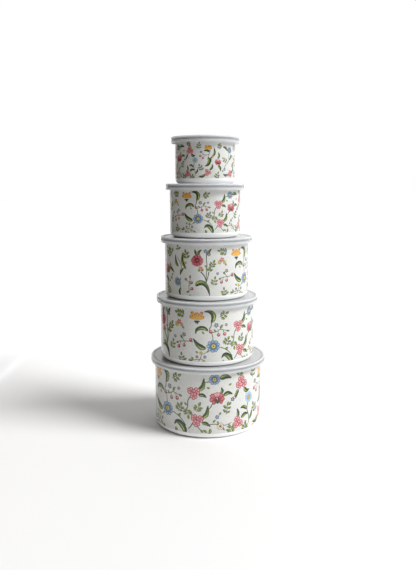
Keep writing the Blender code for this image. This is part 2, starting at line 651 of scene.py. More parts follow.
    def compose_middle(self) -> None:
        """The orange flower and the big blue daisy with what grows round them."""
        self.stem([(-25, 83), (-25, 76), (-22, 70), (-27, 60), (-28, 50)], 1.1)
        self.leaf([(-25, 81), (-29, 89), (-28, 97), (-21, 101.5), (-12, 101)], 9.0, 1)
        self.leaf([(-20, 67), (-13, 72), (-5, 72), (1, 68), (2, 61)], 7.6, -1)
        self.tulip((0, 95), 23)
        self.sprig((-40, 91), 152, 11, 2)
        self.stem([(-25, 64), (-34, 66), (-42, 71), (-46, 78)], 0.9)
        self.stem([(-40, 70), (-48, 68), (-54, 66)], 0.8)
        self.leaflet((-41, 71), 112, 7.5)
        self.leaflet((-52, 67), 190, 6.5)
        self.leaflet((-33, 66), 40, 5.5)
        self.berry((-24, 66), 3.2)
        self.berry((-38, 60), 3.1, (-37, 68))
        self.berry((-49, 61), 3.2, (-46, 69))
        self.tiny((-52, 77), 3.0)
        self.tiny((-34, 77), 4.4)
        self.stem([(-41, 38), (-50, 34), (-58, 28), (-64, 20)], 1.0)
        self.leaflet((-50, 34), 150, 6.5)
        self.leaflet((-54, 31), 60, 5.5)
        self.leaf([(-16, 36), (-8, 38), (0, 44), (7, 54)], 9.5, -1)
        self.daisy((-29, 40), 12.5, 9)
        self.leaf([(-64, 6), (-61, 15), (-55, 22), (-48, 24), (-43, 18)], 10.0, -1)
        self.leaflet((-48, 6), 74, 9.0)
        self.stem([(-2, 12), (-6, 18), (-8, 26)], 0.8)
        self.stem([(-6, 17), (2, 16), (9, 14)], 0.8)
        self.stem([(-8, 26), (-13, 27), (-17, 30)], 0.7)
        self.stem([(-6, 18), (-12, 15), (-17, 11)], 0.7)
        self.tiny((-7, 28), 3.2, Ink.YELLOW)
        self.tiny((-14, 21), 3.2)
        self.tiny((-12, 13), 3.2, Ink.YELLOW)
        self.tiny((0, 21), 3.0, Ink.VIOLET)
        self.tiny((2, 10), 3.0)
        self.tiny((-5, 8), 2.6, Ink.VIOLET)
        self.leaflet((-17, 29), 130, 5.5, True)
        self.leaflet((-2, 27), 40, 6.0, True)
        self.leaflet((8, 14), 4, 8.0)
        self.leaflet((7, 15), 62, 6.5, True)
        self.leaflet((-17, 12), 205, 6.5)
        self.leaflet((-13, 8), 250, 6.0)

    def compose_right(self) -> None:
        """The second crimson flower, with its leaves and pale flowers."""
        self.sprig((21, 84), 52, 17, 3)
        self.stem([(42, 50), (40, 55), (37, 60)], 1.2)
        self.leaf([(28, 60), (20, 61), (10, 53)], 6.5, 1)
        self.leaf([(24, 62), (22, 66), (23, 73)], 4.4, -1, True)
        self.fan((36, 60), 23, 82)
        self.stem([(64, 77), (64, 72), (67, 62), (73, 56), (72, 50), (60, 46), (46, 39)], 1.1)
        self.leaf([(64, 76), (65, 87), (61, 97), (54, 100), (47, 94)], 7.6, -1, True)
        self.leaf([(67, 60), (60, 66), (51, 77)], 7.4, 1)
        self.leaf([(73, 52), (76, 58), (75, 66)], 4.4, 1, True)
        self.leaf([(46, 40), (38, 41), (32, 36), (30, 27)], 7.2, -1)
        self.daisy((68, 35), 8.6, 9, True)
        self.sprig((52, 14), 100, 15, 2, True)
        self.tiny((46, 15), 3.4)
        self.leaf([(61, 4), (64, 12), (62, 23)], 5.0, 1)
        self.leaf([(76, 7), (80, 16), (88, 28)], 6.2, 1, True)
        self.sprig((24, 8), 62, 17, 3, True)
        self.leaflet((22, 9), 320, 8.0)
        self.sprig((14, 92), 40, 7, 1, True)
        self.leaflet((46, 72), 96, 6.0, True)

    def compose_far_right(self) -> None:
        """The part of the strip that closes the round."""
        self.sprig((92, 86), 75, 14, 2)
        self.leaf([(106, 84), (109, 93), (106, 103)], 5.4, 1)
        self.stem([(96, 40), (100, 50), (106, 62), (116, 66)], 0.9)
        self.berry((103, 55), 3.2, (104, 62))
        self.berry((95, 62), 3.0, (101, 60))
        self.berry((111, 52), 3.1, (107, 62))
        self.tiny((119, 70), 4.2)
        self.tiny((99, 72), 3.2)
        self.leaflet((106, 62), 120, 6.5)
        self.leaflet((98, 45), 160, 6.5)
        self.sprig((101, 12), 80, 14, 2, True)
        self.leaf([(122, 24), (115, 30), (110, 42)], 6.4, 1)
        self.leaf([(136, 20), (147, 17), (155, 22)], 6.6, -1)
        self.cluster((128, 22), 18, 100)
        self.stem([(128, 12), (124, 6), (118, 5)], 1.0)
        self.stem([(132, 60), (138, 52), (146, 46), (150, 36)], 1.0)
        self.leaf([(138, 84), (146, 92), (156, 94)], 7.4, 1)
        self.daisy((130, 86), 9.6, 10)
        self.stem([(133, 76), (134, 68), (132, 60)], 0.9)
        self.leaf([(132, 60), (126, 66), (124, 76)], 5.6, -1, True)
        self.sprig((142, 54), 35, 12, 2)
        self.leaf([(172, 44), (165, 38), (163, 28)], 7.0, 1)
        self.leaf([(173, 62), (168, 70), (170, 80)], 6.0, -1, True)
        self.fan((171, 54), 19, 95)
        self.sprig((168, 88), 100, 10, 2)
        self.sprig((177, 8), 110, 13, 2)
        self.stem([(198, 98), (194, 88), (196, 76), (200, 66)], 1.1)
        self.leaf([(200, 66), (196, 56), (200, 46), (209, 42)], 9.0, 1)
        self.leaf([(196, 80), (203, 84), (212, 83)], 6.0, -1)
        self.tulip((199, 93), 18)
        self.berry((214, 64), 3.1, (208, 70))
        self.berry((221, 69), 3.1, (212, 73))
        self.stem([(197, 74), (206, 72), (216, 76)], 0.9)
        self.tiny((219, 80), 3.8)
        self.leaf([(196, 32), (189, 38), (187, 48)], 6.2, -1)
        self.cluster((201, 25), 17, 60)
        self.leaf([(208, 20), (216, 14), (226, 15)], 7.0, 1)
        self.sprig((216, 30), 60, 12, 2)
        self.sprig((226, 88), 95, 12, 2)
        self.daisy((236, 58), 8.8, 9, True)
        self.stem([(238, 50), (240, 40), (236, 28), (236, 16)], 1.0)
        self.leaf([(240, 40), (247, 45), (254, 44)], 5.6, 1)
        self.leaf([(236, 22), (230, 28), (228, 36)], 5.4, -1, True)
        self.tiny((224, 8), 3.4, Ink.YELLOW)

    def compose_left(self) -> None:
        """Three pink clusters, a daisy and a crimson flower, with their stems."""
        self.stem([(-66, 67), (-62, 60), (-61, 50), (-58, 44)], 1.1)
        self.sprig((-61, 47), 262, 9, 2, True)
        self.leaflet((-60, 52), 40, 6.0, True)
        self.leaf([(-78, 77), (-85, 83), (-87, 97)], 7.6, 1, True)
        self.leaf([(-79, 69), (-85, 70), (-91, 66)], 5.8, 1)
        self.cluster((-71, 73), 19, 30)
        self.leaf([(-84, 34), (-91, 40), (-93, 54)], 7.4, 1, True)
        self.leaf([(-84, 25), (-90, 25), (-97, 20)], 6.0, 1)
        self.stem([(-70, 26), (-66, 19), (-62, 15)], 1.1)
        self.cluster((-76, 30), 19, 40)
        self.stem([(-76, 21), (-80, 16), (-83, 14)], 0.9)
        self.leaflet((-82, 15), 235, 6.0)
        self.stem([(-92, 23), (-104, 24), (-118, 21), (-130, 24)], 0.9)
        self.tiny((-112, 20), 6.0, Ink.CREAM, 8, Ink.BROWN)
        self.leaflet((-109, 24), 62, 5.0)
        self.leaflet((-116, 17), 236, 5.0)
        self.stem([(-95, 91), (-88, 89), (-80, 82)], 1.0)
        self.leaf([(-111, 95), (-120, 98), (-130, 95)], 8.0, -1)
        self.daisy((-103, 94), 9.4, 10)
        self.stem([(-100, 57), (-97, 51), (-92, 46), (-86, 36)], 1.0)
        self.leaf([(-117, 68), (-124, 72), (-132, 69)], 6.4, 1)
        self.leaf([(-112, 72), (-115, 76), (-113, 82)], 4.6, -1)
        self.fan((-107, 66), 23, 86)
        self.leaf([(-142, 75), (-139, 69), (-137, 61)], 5.4, 1)
        self.leaf([(-153, 76), (-158, 70), (-165, 71)], 6.8, 1)
        self.cluster((-148, 85), 20, 85)
        self.sprig((-142, 96), 108, 8, 2)
        self.sprig((-121, 38), 100, 13, 2)
        self.leaf([(-141, 31), (-142, 37), (-140, 45)], 5.2, -1)
        self.leaf([(-148, 28), (-155, 33), (-163, 32)], 6.2, 1)
        self.cluster((-141, 22), 18, 80)
        self.sprig((-131, 6), 70, 9, 2, True)
        self.stem([(-134, 20), (-128, 16), (-122, 19)], 0.9)
        self.leaflet((-96, 80), 20, 5.5, True)
        self.leaflet((-125, 84), 160, 5.5, True)
        self.sprig((-98, 7), 30, 7, 1, True)

    def compose_far_left(self) -> None:
        """The big crimson flower over its dark leaf, and what grows on both sides of it."""
        self.sprig((-171, 8), 95, 12, 2)
        self.leaflet((-168, 14), 20, 7.0)
        self.stem([(-150, 47), (-158, 48), (-168, 47), (-178, 46)], 0.9)
        self.stem([(-166, 47), (-170, 53), (-172, 58)], 0.8)
        self.berry((-154, 51), 3.2)
        self.berry((-167, 40), 3.1, (-165, 47))
        self.berry((-178, 37), 3.2, (-174, 46))
        self.leaflet((-178, 45), 200, 6.5)
        self.leaflet((-170, 52), 130, 7.0)
        self.tiny((-167, 59), 4.0)
        self.tiny((-186, 54), 3.2)
        self.tiny((-177, 81), 4.8, Ink.PINK, 5)
        self.tiny((-182, 76), 4.2, Ink.YELLOW, 4)
        self.tiny((-172, 76), 3.6, Ink.YELLOW, 4)
        self.leaflet((-171, 73), 320, 5.5)
        self.sprig((-166, 95), 168, 13, 3)
        self.stem([(-207, 96), (-208, 84), (-207, 70), (-208, 55), (-208, 38)], 1.1, Ink.OLIVE_DARK)
        self.stem([(-219, 58), (-212, 50), (-209, 42), (-208, 36)], 1.4, Ink.OLIVE_DARK)
        self.stem([(-203, 58), (-205, 48), (-208, 38)], 1.2, Ink.OLIVE_DARK)
        self.leaf([(-229, 29), (-224, 35), (-215, 36), (-206, 27), (-201, 9)], 10.5, 1)
        self.leaf([(-224, 90), (-223, 96), (-217, 101)], 5.6, 1)
        self.leaf([(-226, 90), (-229, 95), (-231, 102)], 5.2, -1)
        self.leaf([(-206, 92), (-203, 97), (-198, 103)], 5.4, 1)
        self.tiny((-210, 98), 4.0)
        self.tiny((-203, 92), 3.8, Ink.VIOLET)
        self.leaflet((-203, 60), 140, 8.0)
        self.leaflet((-202, 60), 80, 9.0)
        self.leaflet((-202, 59), 28, 8.0)
        self.leaflet((-206, 68), 160, 6.0)
        self.peony((-226, 80), 13.6)
        self.tiny((-219, 64), 4.6, Ink.PINK, 6)
        self.leaflet((-220, 59), 150, 6.0)
        self.leaflet((-218, 59), 30, 6.0)
        self.stem([(-243, 16), (-243, 30), (-240, 44)], 0.9)
        self.berry((-238, 36), 3.2, (-242, 30))
        self.berry((-237, 24), 3.2, (-243, 20))
        self.berry((-250, 42), 2.8, (-243, 36))
        self.leaflet((-243, 18), 190, 6.5)
        self.leaflet((-241, 44), 80, 7.0)
        self.leaflet((-242, 12), 300, 6.5)
        self.leaf([(-254, 68), (-258, 78), (-257, 96)], 6.4, 1)
        self.leaf([(-250, 62), (-253, 68), (-255, 74)], 4.8, -1)
        self.leaf([(-256, 62), (-261, 58), (-263, 49)], 5.8, -1)
        self.stem([(-252, 66), (-258, 62), (-262, 72), (-270, 84)], 1.0)
        self.leaf([(-268, 66), (-274, 74), (-276, 90)], 6.2, 1)
        self.stem([(-262, 44), (-264, 34), (-262, 22)], 1.0)
        self.daisy((-270, 36), 9.0, 9)
        self.leaf([(-262, 24), (-265, 16), (-262, 8)], 5.4, 1)
        self.sprig((-268, 98), 100, 5, 1)

    def compose_gaps(self) -> None:
        """Twigs and small flowers in the bare places between the sprays."""
        self.sprig((-347, 80), 76, 12, 2)
        self.leaflet((-336, 60), 210, 6.0, True)
        self.tiny((-281, 42), 3.6)
        self.leaflet((-279, 46), 60, 6.0)
        self.leaflet((-285, 38), 230, 6.0)
        self.sprig((-241, 82), 96, 11, 2)
        self.tiny((-243, 74), 3.2, Ink.YELLOW)
        self.sprig((-186, 30), 78, 12, 2, True)
        self.sprig((-191, 66), 62, 9, 2)
        self.sprig((-84, 41), 64, 9, 2)
        self.leaflet((-122, 62), 130, 6.0, True)
        self.sprig((-54, 43), 66, 9, 2, True)
        self.tiny((3, 61), 3.6, Ink.VIOLET)
        self.leaflet((6, 64), 50, 6.0)
        self.leaflet((0, 57), 235, 6.0)
        self.tiny((-22, 35), 3.6)
        self.leaflet((-25, 31), 230, 6.0)
        self.leaflet((-19, 38), 50, 5.5)
        self.sprig((25, 5), 78, 9, 2)
        self.leaf([(84, 68), (90, 78), (88, 92)], 6.0, 1)
        self.leaf([(84, 68), (79, 62), (80, 53)], 4.6, 1, True)
        self.tiny((84, 68), 3.4, Ink.PINK)
        self.tiny((121, 34), 4.0)
        self.leaflet((117, 31), 215, 6.5)
        self.leaflet((158, 4), 20, 6.5)
        self.sprig((155, 38), 62, 9, 2, True)


@dataclass
class Container:
    """One closed bowl of the tower, as the frame gives it."""

    label: str
    centre: Point = field(init=False)
    base: float = field(init=False)
    height: float = field(init=False)
    radius: float = field(init=False)

    def __post_init__(self) -> None:
        """Reads the bowl's and the lid's boxes."""
        low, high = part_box(f"bowl_{self.label}")
        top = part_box(f"lid_{self.label}")[1].z
        self.centre = ((low.x + high.x) / 2, (low.y + high.y) / 2)
        self.base = low.z
        self.height = top - low.z
        self.radius = (high.x - low.x) / 2 - Bowl.roll_reach


def rounded(points: Sequence[tuple[float, float, float]], steps: int = 4) -> list[Point]:
    """A profile with its corners rounded.

    Args:
        points: Radius, height and corner radius of each corner, in order.
        steps: How many stretches a rounded corner is cut into.

    Returns:
        The points of the whole profile.
    """
    line: list[Point] = []
    last = len(points) - 1
    for index, (x, y, radius) in enumerate(points):
        if radius <= 0 or index in (0, last):
            line.append((x, y))
            continue
        corner = Vector((x, y))
        before = Vector(points[index - 1][:2]) - corner
        after = Vector(points[index + 1][:2]) - corner
        half = before.angle(after) / 2
        cut = min(radius / math.tan(half), 0.49 * before.length, 0.49 * after.length)
        start = corner + before.normalized() * cut
        end = corner + after.normalized() * cut
        for step in range(steps + 1):
            t = step / steps
            point = start * (1 - t) ** 2 + corner * 2 * t * (1 - t) + end * t**2
            line.append((point.x, point.y))
    return line


def only(obj: bpy.types.Object) -> None:
    """Leaves one object selected and active."""
    bpy.ops.object.select_all(action="DESELECT")
    obj.select_set(True)
    bpy.context.view_layer.objects.active = obj


def turned(
    name: str,
    profile: Sequence[Point],
    centre: Point,
    base: float,
    closed: bool,
    start: float = 0.0,
) -> bpy.types.Object:
    """Spins a profile into a round piece.

    Args:
        name: The piece's name.
        profile: Radius and height of each point.
        centre: The axis.
        base: The height of the profile's zero.
        closed: True where the last point joins the first.
        start: The turn of the first ring point, in radians from +X.

    Returns:
        The piece, with its place in its mesh.
    """
    bpy.ops.object.select_all(action="DESELECT")
    bpy.ops.mesh.primitive_plane_add(size=0.01)
    piece = bpy.context.active_object
    piece.name = piece.data.name = name
    bpy.ops.object.mode_set(mode="EDIT")
    bpy.ops.mesh.select_all(action="SELECT")
    bpy.ops.mesh.merge(type="CENTER")
    ring = [
        Vector((centre[0] + r * math.cos(start), centre[1] + r * math.sin(start), base + z))
        for r, z in profile
    ]
    bpy.ops.transform.translate(value=ring[0])
    for here, there in zip(ring, ring[1:]):
        bpy.ops.mesh.extrude_vertices_move(TRANSFORM_OT_translate={"value": there - here})
    if closed:
        bpy.ops.mesh.select_all(action="DESELECT")
        mesh = bmesh.from_edit_mesh(piece.data)
        mesh.verts.ensure_lookup_table()
        mesh.verts[0].select = mesh.verts[len(profile) - 1].select = True
        bpy.ops.mesh.edge_face_add()
    bpy.ops.mesh.select_all(action="SELECT")
    bpy.ops.mesh.spin(
        steps=SEGMENTS,
        angle=2 * math.pi,
        center=(*centre, base),
        axis=(0, 0, 1),
        use_auto_merge=False,
    )
    bpy.ops.mesh.select_all(action="SELECT")
    bpy.ops.mesh.remove_doubles(threshold=SAME_PLACE)
    bpy.ops.mesh.normals_make_consistent(inside=False)
    bpy.ops.object.mode_set(mode="OBJECT")
    bpy.ops.object.shade_smooth()
    return piece


@dataclass
class Decal:
    """The strip as fired on one bowl: where it is turned to and how high it sits."""

    turn: float
    lift: float


class PaintedWall:
    """The straight outer wall of a bowl, with every painted shape cut into its surface.

    Attributes:
        full_radius: The radius that the strip is drawn for.
        seam: Where the strip's two ends meet.
        grid: The height of a row of the bare wall's points.
        nudge: How far every second row is turned, as a share of a step.
        clear_edge: How far the paint stays from the wall's two rings.
        clean: Outlines closer than this are joined.
        least_area: The smallest shape that is painted, as twice its area.
        margin: How far outside its outline a shape may still be.
    """

    full_radius = 86.1
    seam = 185.0
    grid = 3.4
    nudge = 0.25
    clear_edge = 0.25
    clean = 0.002
    least_area = 0.02
    margin = 0.1

    def __init__(self, strip: FlowerStrip, bowl: "Bowl", decal: Decal) -> None:
        """Keeps what the wall is made from.

        Args:
            strip: The decoration.
            bowl: The bowl the wall belongs to.
            decal: The decoration's place on it.
        """
        self.strip = strip
        self.bowl = bowl
        self.decal = decal
        self.scale = bowl.container.radius / (self.full_radius * MM)
        self.round = 2 * math.pi * self.full_radius

    def azimuth(self, along: float) -> float:
        """The angle round the bowl, from the front to the right, of a place on the strip."""
        return math.radians(self.decal.turn) + along / self.full_radius

    def start(self) -> float:
        """The angle from +X of the seam, where the ring points begin."""
        return self.azimuth(self.seam) - math.pi / 2

    def on_strip(self, height: float) -> float:
        """A height above the bowl's base as a height on the strip."""
        return (height - self.decal.lift * MM) / (self.scale * MM)

    def placed(self, point: Sequence[float]) -> Vector:
        """The place in space of a point of the strip."""
        bowl = self.bowl.container
        angle = self.azimuth(point[0])
        return Vector(
            (
                bowl.centre[0] + bowl.radius * math.sin(angle),
                bowl.centre[1] - bowl.radius * math.cos(angle),
                bowl.base + (point[1] * self.scale + self.decal.lift) * MM,
            )
        )

    def clipped(self, outline: Sequence[Point], limit: float, keep_below: bool) -> list[Point]:
        """The part of an outline on one side of a level line.

        Args:
            outline: The points round it.
            limit: The height of the line.
            keep_below: True to keep what is below the line.

        Returns:
            The points round that part.
        """
        kept: list[Point] = []
        sign = 1.0 if keep_below else -1.0
        for a, b in zip(outline, (*outline[1:], outline[0])):
            inside_a = sign * (limit - a[1]) >= 0
            inside_b = sign * (limit - b[1]) >= 0
            if inside_a:
                kept.append(a)
            if inside_a != inside_b:
                t = (limit - a[1]) / (b[1] - a[1])
                kept.append((a[0] + (b[0] - a[0]) * t, limit))
        return kept

    def around(self, outline: Sequence[Point]) -> tuple[float, float, float, float]:
        """The level rectangle round an outline, with a small margin."""
        xs, ys = [p[0] for p in outline], [p[1] for p in outline]
        room = self.margin
        return min(xs) - room, min(ys) - room, max(xs) + room, max(ys) + room

    def within(self, point: Sequence[float], box: tuple[float, float, float, float]) -> bool:
        """Whether a point lies in a level rectangle."""
        return box[0] <= point[0] <= box[2] and box[1] <= point[1] <= box[3]

    def bare(self, low: float, high: float) -> tuple[list[Vector], list[list[int]]]:
        """The bare wall as one outline, and the loose points that keep it round.

        Args:
            low: The strip height of the wall's lower ring.
            high: The strip height of its upper ring.

        Returns:
            The points, and the outline as their numbers.
        """
        left = self.seam - self.round
        rows = max(int((high - low) / self.grid), 4)
        step = self.round / SEGMENTS
        points = [(left + step * i, low) for i in range(SEGMENTS + 1)]
        points += [(self.seam, low + (high - low) * j / rows) for j in range(1, rows)]
        points += [(left + step * i, high) for i in range(SEGMENTS, -1, -1)]
        points += [(left, low + (high - low) * j / rows) for j in range(rows - 1, 0, -1)]
        outline = list(range(len(points)))
        for j in range(1, rows):
            for i in range(1, SEGMENTS):
                nudge = self.nudge * step if j % 2 else 0.0
                points.append((left + step * i + nudge, low + (high - low) * j / rows))
        return [Vector(p) for p in points], [outline]

    def build(self, low: float, high: float) -> bpy.types.Object:
        """Makes the wall between two heights above the bowl's base.

        Args:
            low: Where the wall starts.
            high: Where it ends.

        Returns:
            The wall, open at both ends, with its colours in the attribute "paint".
        """
        bottom, top = self.on_strip(low), self.on_strip(high)
        points, outlines = self.bare(bottom, top)
        washes: list[Wash | None] = [None]
        frames: list[tuple[float, float, float, float]] = [(0.0, 0.0, 0.0, 0.0)]
        for shape in self.strip.shapes:
            outline = self.clipped(shape.outline, bottom + self.clear_edge, False)
            outline = self.clipped(outline, top - self.clear_edge, True) if outline else []
            if len(outline) < 3 or turning(outline) < self.least_area:
                continue
            outlines.append(list(range(len(points), len(points) + len(outline))))
            points += [Vector(p) for p in outline]
            washes.append(shape.wash)
            frames.append(self.around(outline))
        made, _, faces, _, _, owners = delaunay_2d_cdt(points, [], outlines, 0, self.clean, True)
        # an outline that doesn't close would paint the whole wall, so it is left out
        spilt = {
            shape
            for face, ids in zip(faces, owners)
            for shape in ids
            if shape and not self.within(made[face[0]], frames[shape])
        }
        LOG.info("bowl %s: %d shapes left out of its wall", self.bowl.container.label, len(spilt))
        kept = [
            (face, max(i for i in ids if i not in spilt))
            for face, ids in zip(faces, owners)
            if 0 in ids
        ]
        mesh = bpy.data.meshes.new(f"painted_wall_{self.bowl.container.label}")
        mesh.from_pydata([self.placed(p) for p in made], [], [face for face, _ in kept])
        paint = mesh.attributes.new("paint", "FLOAT_COLOR", "CORNER")
        colours = []
        for face, owner in kept:
            wash = washes[owner]
            for corner in face:
                colours += (*wash.at(made[corner]), 1.0) if wash else (0.0, 0.0, 0.0, 0.0)
        paint.data.foreach_set("color", colours)
        wall = bpy.data.objects.new(mesh.name, mesh)
        bpy.context.scene.collection.objects.link(wall)
        only(wall)
        bpy.ops.object.shade_smooth()
        return wall


@dataclass
class Bowl:
    """A pressed steel bowl under white enamel, with the decoration fired on its wall.

    The outer wall comes as its own mesh with the painted shapes in it, and is joined to the
    rest of the bowl point by point.
    """

    container: Container
    decal: Decal
    wall: float = 0.8 * MM
    corner: float = 8.5 * MM
    corner_steps: int = 12
    foot_width: float = 6.0 * MM
    foot_height: float = 1.2 * MM
    foot_slope: float = 3.0 * MM
    foot_bend: float = 1.5 * MM
    recess_bend: float = 2.0 * MM
    roll_height: float = 1.6 * MM
    roll_drop: float = 3.3 * MM
    roll_root: float = 0.5 * MM
    roll_bend: float = 0.75 * MM
    roll_steps: int = 6
    roll_reach = 3.2 * MM
    unpainted: float = 0.8 * MM

    def profile(self) -> list[Point]:
        """The bowl's section, from the middle of its underside over the edge to its floor."""
        outer = self.container.radius
        inner = outer - self.wall
        top = self.container.height - self.roll_drop
        under = top - self.roll_height
        foot_out = outer - self.corner
        foot_in = foot_out - self.foot_width
        recess = foot_in - self.foot_slope
        inner_corner = self.corner - self.wall
        outside = [(0.0, self.foot_height), (recess * 0.5, self.foot_height)]
        outside += rounded(
            [
                (recess * 0.5, self.foot_height, 0),
                (recess, self.foot_height, self.recess_bend),
                (foot_in, 0.0, self.foot_bend),
                (foot_out, 0.0, 0),
            ]
        )[1:-1]
        outside += self.quarter(foot_out, self.corner, self.corner, -90, 0)
        edge = rounded(
            [
                (outer, self.wall_top(), 0),
                (outer, under, self.roll_root),
                (outer + self.roll_reach, under, self.roll_bend),
                (outer + self.roll_reach, top, self.roll_bend),
                (inner, top, self.roll_bend),
                (inner, self.corner, 0),
            ],
            self.roll_steps,
        )[:-1]
        inside = self.quarter(foot_out, self.corner, inner_corner, 0, -90)
        inside += rounded(
            [
                (foot_out, self.wall, 0),
                (foot_in, self.wall, self.foot_bend),
                (recess, self.foot_height + self.wall, self.recess_bend),
                (recess * 0.5, self.foot_height + self.wall, 0),
            ]
        )[1:]
        return outside + edge + inside + [(0.0, self.foot_height + self.wall)]

    def quarter(
        self,
        x: float,
        y: float,
        radius: float,
        first: float,
        last: float,
    ) -> list[Point]:
        """A quarter round of the section.

        Args:
            x: The radius at which its middle lies.
            y: The height of its middle.
            radius: Its own radius.
            first: The angle of its first point, in degrees.
            last: The angle of its last point.

        Returns:
            Its points, both ends included.
        """
        steps = self.corner_steps
        turns = [math.radians(first + (last - first) * i / steps) for i in range(steps + 1)]
        return [(x + radius * math.cos(a), y + radius * math.sin(a)) for a in turns]

    def wall_top(self) -> float:
        """Where the painted wall ends, above the bowl's base."""
        return self.container.height - self.roll_drop - self.roll_height - self.unpainted

    def build(self, strip: FlowerStrip, enamel: "Enamel") -> bpy.types.Object:
        """Makes the bowl and dresses it.

        Args:
            strip: The decoration.
            enamel: The bowl's finish.

        Returns:
            The bowl.
        """
        box = self.container
        painted = PaintedWall(strip, self, self.decal)
        name = f"enamel_bowl_{box.label}"
        shell = turned(name, self.profile(), box.centre, box.base, False, painted.start())
        self.open_wall(shell)
        wall = painted.build(self.corner, self.wall_top())
        only(shell)
        wall.select_set(True)
        bpy.ops.object.join()
        bpy.ops.object.mode_set(mode="EDIT")
        bpy.ops.mesh.select_all(action="DESELECT")
        bpy.ops.mesh.select_mode(type="VERT")
        bpy.ops.mesh.select_non_manifold()
        bpy.ops.mesh.remove_doubles(threshold=WELD)
        bpy.ops.object.mode_set(mode="OBJECT")
        LOG.info("%s: %d faces", name, len(shell.data.polygons))
        self.smooth_round(shell)
        shell.data.materials.clear()
        shell.data.materials.append(enamel.material())
        return shell

    def open_wall(self, shell: bpy.types.Object) -> None:
        """Takes out the straight outer wall, which the painted wall fills."""
        box = self.container
        only(shell)
        bpy.ops.object.mode_set(mode="EDIT")
        bpy.ops.mesh.select_all(action="DESELECT")
        bpy.ops.mesh.select_mode(type="FACE")
        mesh = bmesh.from_edit_mesh(shell.data)
        middle = box.base + (self.corner + self.wall_top()) / 2
        quarter_height = 0.25 * box.height
        for face in mesh.faces:
            at = face.calc_center_median()
            reach = math.hypot(at.x - box.centre[0], at.y - box.centre[1])
            outside = reach > box.radius - self.wall / 2
            face.select = outside and abs(at.z - middle) < quarter_height
        bmesh.update_edit_mesh(shell.data)
        bpy.ops.mesh.delete(type="FACE")
        bpy.ops.object.mode_set(mode="OBJECT")

    def smooth_round(self, shell: bpy.types.Object) -> None:
        """Gives every point of the straight wall the normal of a true cylinder."""
        box = self.container
        low, high = box.base + self.corner, box.base + self.wall_top()
        normals = []
        for vertex in shell.data.vertices:
            out = Vector((vertex.co.x - box.centre[0], vertex.co.y - box.centre[1], 0.0))
            on_wall = abs(out.length - box.radius) < WELD
            if on_wall and low - WELD < vertex.co.z < high + WELD:
                normals.append(out.normalized())
            else:
                normals.append(vertex.normal.copy())
        shell.data.normals_split_custom_set_from_vertices(normals)


@dataclass
class RimBand:
    """The steel channel closed over the bowl's rolled edge."""

    container: Container
    sheet: float = 0.5 * MM
    top_leg: float = 3.8 * MM
    bottom_leg: float = 3.4 * MM
    reach: float = 4.0 * MM
    top_drop: float = 2.5 * MM
    bottom_drop: float = 5.7 * MM
    bend: float = 0.95 * MM
    inner_bend: float = 0.45 * MM
    lip_bend: float = 0.2 * MM
    bend_steps: int = 5

    def build(self, steel: "BrushedSteel") -> bpy.types.Object:
        """Makes the band and dresses it.

        Args:
            steel: The band's finish.

        Returns:
            The band.
        """
        box = self.container
        out = box.radius + self.reach
        top, bottom = box.height - self.top_drop, box.height - self.bottom_drop
        inner = out - self.sheet
        profile = rounded(
            [
                (inner, (top + bottom) / 2, 0),
                (inner, bottom + self.sheet, self.inner_bend),
                (out - self.bottom_leg, bottom + self.sheet, self.lip_bend),
                (out - self.bottom_leg, bottom, self.lip_bend),
                (out, bottom, self.bend),
                (out, top, self.bend),
                (out - self.top_leg, top, self.lip_bend),
                (out - self.top_leg, top - self.sheet, self.lip_bend),
                (inner, top - self.sheet, self.inner_bend),
                (inner, (top + bottom) / 2, 0),
            ],
            self.bend_steps,
        )[:-1]
        band = turned(f"steel_band_{box.label}", profile, box.centre, box.base, True)
        band.data.materials.append(steel.material())
        return band


